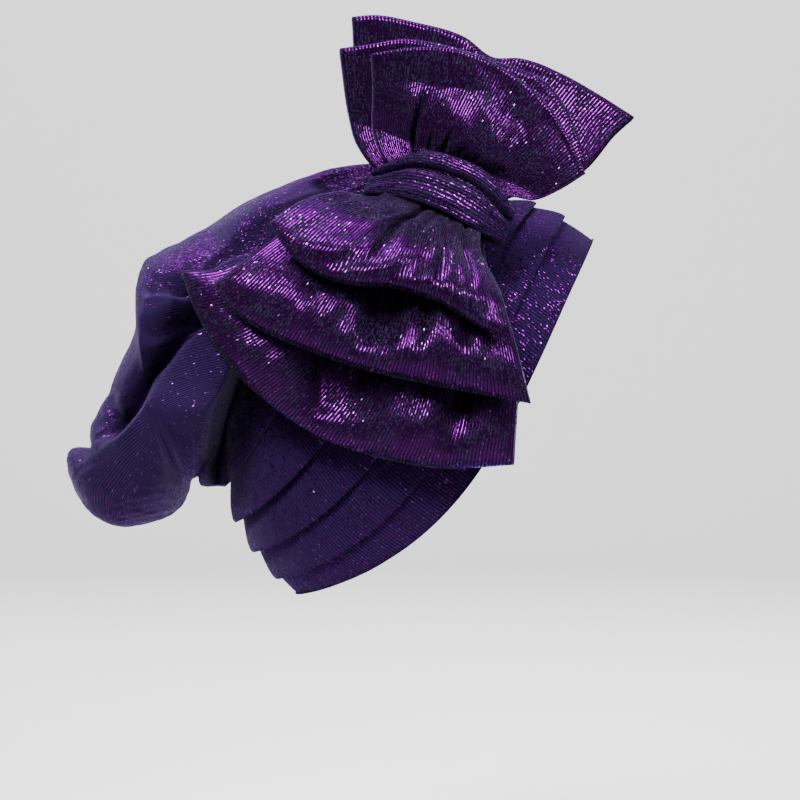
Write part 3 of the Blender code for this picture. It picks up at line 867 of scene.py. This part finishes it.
# A lower loop rolls over from its ridge to its fold, and an upper one slopes down from it
ROLL_POWER = 1.7
SLOPE_SHARE = 0.94
SLOPE_LENGTH = 0.45
SLOPE_POWER = 1.1
DART_START = 0.06
DART_FULL = 0.2
DART_FADE = 0.7
PLEAT_DEPTH = 1.1
WAVE_DEPTH = 1.4
UPPER_SOFTNESS = 0.5
RIDGE_SEED = 20
PLEAT_SEED = 40
WAVE_SEED = 60
FLAT_FOLD = 0.12
FLAT_THROAT = 10.0
LOOP_CLOTH = 0.9


def ridged(loop, a, s):
    """The share of a loop's fullness that its ridge, and the slope or roll past it, leave."""
    ridge = loop.ridge + RIDGE_WANDER * ripple(1.1 * a, 0 * a, RIDGE_SEED + loop.layer)
    hollow = RIDGE_HOLLOW * loop.layer * (1 - np.exp(-(((s - ridge) / RIDGE_WIDTH) ** 2))) * (s < ridge)
    if loop.rises:
        tail = 1 - SLOPE_SHARE * np.clip((s - ridge) / SLOPE_LENGTH, 0, 1) ** SLOPE_POWER
    else:
        tail = np.sqrt(1 - np.clip((s - ridge) / (1 - ridge), 0, 1) ** ROLL_POWER)
    return (1 - hollow * eased(s, THROAT_END, RIDGE_START)) * tail


def dart_depth(dart, a, s):
    """How deep a dart presses the loop's front in."""
    here = eased(s, DART_START, DART_FULL) * (1 - eased(s, DART_FADE * dart.reach, dart.reach))
    return dart.depth * here * np.exp(-(((a - dart.across) / dart.width) ** 2))


def softness(loop, a, s):
    """The fine pleats and slow waves in a loop's front."""
    number = loop.layer + 3 * loop.rises
    pleats = ripple(2.6 * a, 0.25 * s, PLEAT_SEED + number) * eased(s, 0.05, 0.3)
    waves = ripple(0.9 * a, 0.8 * s, WAVE_SEED + number)
    return (PLEAT_DEPTH * pleats + WAVE_DEPTH * waves) * (UPPER_SOFTNESS if loop.rises else 1)


def loop_fullness(loop, a, s, up):
    """The loop's thickness over its grid, without the round of its fold."""
    round_across = np.sin(np.pi * np.clip(a, 0.002, 0.998)) ** SIDE_ROUND
    swell = loop.puff * (1 - np.exp(-clear_of_knot(up, LOOP_MARGIN) / PUFF_REACH))
    full = THROAT_THICKNESS - LOOP_EDGE + swell
    thickness = LOOP_EDGE + full * ridged(loop, a, s) * round_across
    thickness = thickness - sum(dart_depth(dart, a, s) for dart in loop.darts)
    free = round_across * eased(1 - s, 0.0, FLAT_FOLD) * eased(clear_of_knot(up), 0, FLAT_THROAT)
    return np.maximum(thickness + softness(loop, a, s) * free, LOOP_EDGE)


def loop_surface(loop):
    """A loop's strip: out over the front, round its fold and back behind, and the length along it."""
    a = np.linspace(0, 1, LOOP_COLUMNS + 1)
    s = 1 - (1 - np.linspace(0, 1, LOOP_ROWS + 1)) ** ROW_CROWDING
    patch = loop_patch(loop, a, s)
    across, up = patch[..., 0], patch[..., 1]
    fullness = loop_fullness(loop, a[None, :], s[:, None], up)
    fold = np.sqrt(1 - np.clip((s - 1 + FOLD_ROUND) / FOLD_ROUND, 0, 1) ** 2)[:, None]
    hem = np.sqrt(1 - np.clip(np.abs(2 * a - 1) * HEM_PARTS - HEM_PARTS + 1, 0, 1) ** 2)[None, :]
    thin = (THROAT_THICKNESS - LOOP_EDGE) / 2 * (1 - np.sin(np.pi * a) ** THIN_POWER)
    back = layer_back(loop, across, up) + thin * (1 - eased(s, THROAT_END, THIN_END)[:, None])
    middle = back + LOOP_EDGE / 2
    front = bow_point(across, up, -middle - (fullness - LOOP_EDGE / 2) * fold * hem)
    behind = bow_point(across, up, -middle + LOOP_EDGE / 2 * fold * hem)
    length = np.linalg.norm(even(loop.outer, np.array([0.5]))[0] - (0, KNOT_MIDDLE))
    return np.concatenate([front, behind[-2::-1]]), np.concatenate([s, 2 - s[-2::-1]]) * length


loop_pieces = {}
for loop in LOOPS:
    grid, along = loop_surface(loop)
    piece = cut_strip(loop.name.replace("bow_", "") + "_cloth", LOOP_COLUMNS, 2 * LOOP_ROWS)
    drape(piece, grid, np.linspace(0, loop.ribs, LOOP_COLUMNS + 1)[None, :], along[:, None])
    sew(piece)
    give_wall(piece, LOOP_CLOTH)
    loop_pieces[loop.name] = piece

# %% [markdown]
# ## Knot wrap and its corner
# A folded strip goes round the throats of all six loops. Its ribs run along it, so they circle the
# knot. Two soft folds lie side by side with a dark crease between them, and a pressed corner of the
# same strip sticks out behind.

# %% The wrap
KNOT_SQUARENESS = 0.5
# The two folds over the wrap's width: how far from its middle, and how far each place bulges
KNOT_FOLDS = (
    (-1, -0.6), (-1.02, 0.2), (-0.97, 0.75), (-0.8, 1), (-0.55, 1.08), (-0.3, 0.86),
    (-0.1, 0.98), (0.12, 0.9), (0.26, 0.1), (0.33, -0.35), (0.4, 0.35), (0.52, 0.9),
    (0.72, 1), (0.9, 0.7), (1.01, 0.2), (1, -0.6),
)
KNOT_COLUMNS = 170
KNOT_ROWS = 64
KNOT_RIBS = 26
KNOT_CLOTH = 0.9
# How far down the strip's side is turned under at the end toward the face
KNOT_TURN_UNDER = 2.2
TURN_START = 18.0
TURN_FULL = 34.0
KNOT_CRUMPLE = 0.35
KNOT_SEAM = 0.1

turn = np.linspace(0, 2 * np.pi, KNOT_COLUMNS + 1)
reach, depth = (np.sign(v) * np.abs(v) ** KNOT_SQUARENESS for v in (np.cos(turn), np.sin(turn)))
inner_across, inner_x = KNOT_HALF_SPAN * reach, BOW_CENTRE[0] - KNOT_HALF_DEPTH * depth
away = np.stack([reach, -depth], axis=-1)
away /= np.linalg.norm(away, axis=-1, keepdims=True)
clipped = np.clip(inner_across, KNOT_PLACES[0], KNOT_PLACES[-1])
middle = blend(KNOT_PLACES, KNOT_MIDDLES, clipped)
half = blend(KNOT_PLACES, [w.half_width for w in KNOT_SHAPE], clipped)
steps = np.linspace(0, len(KNOT_FOLDS) - 1, KNOT_ROWS + 1)
shares = blend(range(len(KNOT_FOLDS)), [f[0] for f in KNOT_FOLDS], steps)
stands = blend(range(len(KNOT_FOLDS)), [f[1] for f in KNOT_FOLDS], steps)
wrap_rows = []
for share, stand in zip(shares, stands):
    crumple = KNOT_CRUMPLE * ripple(turn / 3, 0 * turn + 0.6 * share, 31)
    out = np.maximum(KNOT_WALL + KNOT_BULGE * stand + crumple, KNOT_CLOTH + KNOT_SEAM)
    edge_down = KNOT_TURN_UNDER * eased(inner_across, TURN_START, TURN_FULL) * abs(share)
    across = inner_across + out * away[:, 0]
    x = inner_x + (out - edge_down) * away[:, 1] - BOW_YAW * across
    wrap_rows.append(bow_point(across, middle + share * half, x))
wrap_grid = np.array(wrap_rows)
wrap_grid[:, -1] = wrap_grid[:, 0]

knot = cut_strip("knot_wrap_cloth", KNOT_COLUMNS, KNOT_ROWS)
stretches = np.linalg.norm(np.diff(wrap_grid[KNOT_ROWS // 2], axis=0), axis=1)
round_it = np.concatenate([[0], np.cumsum(stretches)])
drape(knot, wrap_grid, np.linspace(0, KNOT_RIBS, KNOT_ROWS + 1)[:, None], round_it[None, :])
sew(knot)
give_wall(knot, KNOT_CLOTH)

# %% The pressed corner
TAB_CORNERS = ((-39.8, 4.0), (-46.5, -9.5), (-39.8, -6.0))
TAB_OUTWARD = -49.0
TAB_THICKNESS = 1.8
TAB_STEPS = 16
TAB_RIBS = 5
TAB_LENGTH = 12

share = np.linspace(0, 1, TAB_STEPS + 1)
first, tip, last = (np.array(corner) for corner in TAB_CORNERS)
root = first + share[:, None] * (last - first)
flat = root[None] * (1 - share[:, None, None]) + tip * share[:, None, None]
bulge = np.sqrt(np.clip(np.sin(np.pi * share)[None, :] * (1 - share[:, None] ** 3), 0, 1))
tab_front = bow_point(flat[..., 0], flat[..., 1], TAB_OUTWARD - TAB_THICKNESS * (1 + bulge) / 2)
tab_back = bow_point(flat[..., 0], flat[..., 1], TAB_OUTWARD - TAB_THICKNESS * (1 - bulge) / 2)
tab_grid = np.concatenate([tab_front, tab_back[:, ::-1][:, 1:]], axis=1)

tab = cut_strip("knot_tab_cloth", 2 * TAB_STEPS, TAB_STEPS)
drape(tab, tab_grid, np.linspace(0, 2 * TAB_RIBS, 2 * TAB_STEPS + 1)[None, :], TAB_LENGTH * share[:, None])
sew(tab)
print("tab:", len(tab.data.polygons), "faces")

# %% [markdown]
# ## Pleated lurex
# The cloth is a thin knit pressed into ribs under two millimetres wide, with a metallic thread that
# runs along each rib. Three things make its look: dark valleys between the ribs, which are bumped in
# and have their shade painted into the colour, dashes of bright thread that mirror the lamps, and a
# soft pale haze of fibre where it is seen at a slant. Ribs and dashes follow the UV map, so they turn
# with the cloth. Each dash leans its own way, which scatters the glints as stretched thread does.

# %% Shader maths as Python expressions
class Wire:
    """A shader socket on which Python's own operators add Math nodes."""

    def __init__(self, socket):
        self.socket = socket

    def joined(self, operation, *values):
        node = self.socket.id_data.nodes.new("ShaderNodeMath")
        node.operation = operation
        for place, value in zip(node.inputs, values):
            plug(place, value)
        return Wire(node.outputs[0])

    def __add__(self, other):
        return self.joined("ADD", self, other)

    def __sub__(self, other):
        return self.joined("SUBTRACT", self, other)

    def __rsub__(self, other):
        return self.joined("SUBTRACT", other, self)

    def __mul__(self, other):
        return self.joined("MULTIPLY", self, other)

    def __truediv__(self, other):
        return self.joined("DIVIDE", self, other)

    def size(self):
        return self.joined("ABSOLUTE", self)

    def whole(self):
        return self.joined("FLOOR", self)

    def clamped(self):
        return self.joined("MINIMUM", self.joined("MAXIMUM", self, 0.0), 1.0)

    __radd__ = __add__
    __rmul__ = __mul__


def plug(place, value):
    """Link a wire to a socket, or set the socket's own value."""
    if isinstance(value, Wire):
        value.socket.id_data.links.new(value.socket, place)
    else:
        place.default_value = value


class Dye:
    """One cloth's material, and the nodes added to it."""

    def __init__(self, name):
        self.material = bpy.data.materials.new(name)
        self.material.use_nodes = True
        self.tree = self.material.node_tree
        self.shader = self.tree.nodes["Principled BSDF"]

    def node(self, kind, settings, sockets):
        """Add a node of a type, with its settings first and then its sockets, and give its outputs."""
        made = self.tree.nodes.new(kind)
        for setting, value in settings.items():
            setattr(made, setting, value)
        places = {place.identifier: place for place in made.inputs}
        for name, value in sockets.items():
            plug(places[name], value)
        return {output.identifier: Wire(output) for output in made.outputs}

    def between(self, share, low, high):
        """A colour between two others."""
        sockets = {"Factor_Float": share, "A_Color": low, "B_Color": high}
        return self.node("ShaderNodeMix", {"data_type": "RGBA"}, sockets)["Result_Color"]

    def vector(self, operation, sockets):
        """A vector made from others."""
        return self.node("ShaderNodeVectorMath", {"operation": operation}, sockets)["Vector"]


print("shader maths is ready")

# %% Ribs, thread and haze in one cloth
DASH_LENGTH = 0.9
SPARK_SHARE = 0.05
SPARK_TILT = 0.35
THREAD = (0.040, 0.003, 0.060, 1)
SPARK = (0.10, 0.035, 0.13, 1)
THREAD_EDGE = (0.35, 0.25, 0.50, 1)
HAZE = (0.50, 0.42, 0.70, 1)
HAZE_ROUGHNESS = 0.4
# The ribs wander sideways by up to half of this many ribs
RIB_WANDER = 1.6
WANDER_SCALE = 24.0
VALLEY_STEEPNESS = 2.6
PATCH_SCALE = 70.0
CLOTH_ROUGHNESS = 0.55
THREAD_POLISH = 0.37
THREAD_METAL = 0.95
# A finish: cloth colour, painted valley shade colour, thread share, scatter, sinking, haze share and relief
Finish = namedtuple("Finish", "cloth valley thread_share scatter sunk haze_share relief")
FINISHES = {
    "band_lurex": Finish((0.017, 0.007, 0.042, 1), (0.003, 0.001, 0.011, 1), 0.28, 0.4, 0, 0.14, 0.00014),
    "crown_lurex": Finish((0.019, 0.009, 0.045, 1), (0.003, 0.001, 0.011, 1), 0.34, 0.5, 0.85, 0.21, 0.00014),
    "knot_lurex": Finish((0.018, 0.011, 0.037, 1), (0.003, 0.001, 0.010, 1), 0.4, 0.15, 0, 0.06, 0.0002),
    "bow_lurex": Finish((0.019, 0.013, 0.036, 1), (0.002, 0.001, 0.007, 1), 0.75, 0.12, 0, 0.08, 0.0002),
}
# Where the cloth is stretched over the side of the head, its thread sinks in between the ribs
SINK_FROM = 0.052
SINK_WIDTH = 0.025


def cloth_ribs(dye, place):
    """Which rib a point is on, counted with its share across it, and how far along the rib it is."""
    spot = dye.node("ShaderNodeUVMap", {"uv_map": "cloth"}, {})["UV"]
    cut = dye.node("ShaderNodeSeparateXYZ", {}, {"Vector": spot})
    noise = {"Vector": place, "Scale": WANDER_SCALE, "Detail": 1.0}
    wander = dye.node("ShaderNodeTexNoise", {}, noise)["Fac"]
    return cut["X"] + (wander - 0.5) * RIB_WANDER, cut["Y"]


def dash_dice(dye, rib, along):
    """A random value and colour for each dash of thread."""
    shift = dye.node("ShaderNodeTexWhiteNoise", {"noise_dimensions": "1D"}, {"W": rib.whole()})["Value"]
    dash = (along / DASH_LENGTH + shift * 7).whole()
    cell = dye.node("ShaderNodeCombineXYZ", {}, {"X": (rib * 2).whole(), "Y": dash, "Z": 0.0})["Vector"]
    return dye.node("ShaderNodeTexWhiteNoise", {"noise_dimensions": "3D"}, {"Vector": cell})


def thread_share(dye, place, finish):
    """The share of dashes that show, in loose patches, and fewer where the thread is sunk."""
    noise = {"Vector": place, "Scale": PATCH_SCALE, "Detail": 2.0}
    patch = dye.node("ShaderNodeTexNoise", {}, noise)["Fac"]
    sideways = dye.node("ShaderNodeSeparateXYZ", {}, {"Vector": place})["X"].size()
    shown = 1 - ((sideways - SINK_FROM) / SINK_WIDTH).clamped() * finish.sunk
    return patch * shown * (2 * finish.thread_share)


def leaning(dye, colour, amount):
    """The cloth's normal, leaned a random way by an amount."""
    tilt = dye.vector("SUBTRACT", {"Vector": colour, "Vector_001": (0.5, 0.5, 0.5)})
    tilt = dye.vector("SCALE", {"Vector": tilt, "Scale": amount})
    normal = dye.node("ShaderNodeNewGeometry", {}, {})["Normal"]
    return dye.vector("NORMALIZE", {"Vector": dye.vector("ADD", {"Vector": normal, "Vector_001": tilt})})


def lurex(name, finish):
    """The pleated cloth of one slot: its ribs, its dashes of thread and its haze."""
    dye = Dye(name)
    place = dye.node("ShaderNodeTexCoord", {}, {})["Object"]
    rib, along = cloth_ribs(dye, place)
    crest = 1 - (rib.joined("FRACT", rib) * 2 - 1).size()
    # Where a rib's valley lies: shade is painted into the colour there, and no thread shows
    valley = ((0.5 - crest) * VALLEY_STEEPNESS).clamped()
    dice = dash_dice(dye, rib, along)
    value = dice["Value"]
    thread = value.joined("LESS_THAN", value, thread_share(dye, place, finish)) * (1 - valley)
    spark = value.joined("LESS_THAN", value, SPARK_SHARE * finish.thread_share)

    # Painted shade: the cloth turns to its darker valley colour between the ribs
    body = dye.between(valley, finish.cloth, finish.valley)
    facet = leaning(dye, dice["Color"], thread * (spark * SPARK_TILT + finish.scatter))
    bumps = {"Height": crest * (2 - crest), "Distance": finish.relief, "Strength": 1.0, "Normal": facet}
    looks = {
        "Base Color": dye.between(thread, body, dye.between(spark, THREAD, SPARK)),
        "Metallic": thread * THREAD_METAL,
        "Roughness": CLOTH_ROUGHNESS - thread * THREAD_POLISH,
        "Normal": dye.node("ShaderNodeBump", {}, bumps)["Normal"],
        "Sheen Weight": finish.haze_share,
        "Sheen Roughness": HAZE_ROUGHNESS,
        "Sheen Tint": HAZE,
        "IOR": 1.0,
        "Specular Tint": THREAD_EDGE,
    }
    for look, setting in looks.items():
        plug(dye.shader.inputs[look], setting)
    return dye.material


cloths = {name: lurex(name, finish) for name, finish in FINISHES.items()}
print("cloths:", ", ".join(cloths))

# %% [markdown]
# ## Dress the model
# Each strip stands for one node of the imported model, moves with its body and takes the finish of its
# slot.

# %% Put each piece in its place in the model
Cut = namedtuple("Cut", "piece node slot width length held rests_on")
CUTS = [
    Cut(head_band, "head_band", "band_lurex", 0.6, 0.13, "stretched", []),
    Cut(crown, "crown_drape", "crown_lurex", 0.42, 0.24, "draped", ["head_band"]),
    Cut(knot, "knot_wrap", "knot_lurex", 0.2, 0.036, "folded", list(loop_pieces.values())),
]
LOOP_CUTS = {
    "bow_lower_loop_1": (0.12, 0.15),
    "bow_lower_loop_2": (0.15, 0.22),
    "bow_lower_loop_3": (0.17, 0.29),
    "bow_upper_loop_1": (0.11, 0.14),
    "bow_upper_loop_2": (0.12, 0.15),
    "bow_upper_loop_3": (0.12, 0.17),
}
FLOOR_COLOUR = (0.62, 0.62, 0.63, 1)
FLOOR_ROUGHNESS = 0.9

for node, (width, length) in LOOP_CUTS.items():
    CUTS.append(Cut(loop_pieces[node], node, "bow_lurex", width, length, "folded", ["knot_wrap"]))
CUTS.append(Cut(tab, "knot_tab", "knot_lurex", 0.01, 0.01, "folded", ["knot_wrap"]))

for cut in CUTS:
    cut.piece.data.materials.clear()
    cut.piece.data.materials.append(cloths[cut.slot])
    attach(cut.piece, "root")
    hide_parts(cut.node)

floor_paint = Dye("studio_white")
floor_paint.shader.inputs["Base Color"].default_value = FLOOR_COLOUR
floor_paint.shader.inputs["Roughness"].default_value = FLOOR_ROUGHNESS
floor.data.materials.append(floor_paint.material)
print("dressed pieces:", len(CUTS))

# %% [markdown]
# ## The dressed cap's size
# The box round the dressed cap, without the studio floor, is measured and its size printed.

# %% Print the size of the dressed cap
low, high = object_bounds()
print("visual size:", [round(1000 * (b - a)) for a, b in zip(low, high)], "mm")
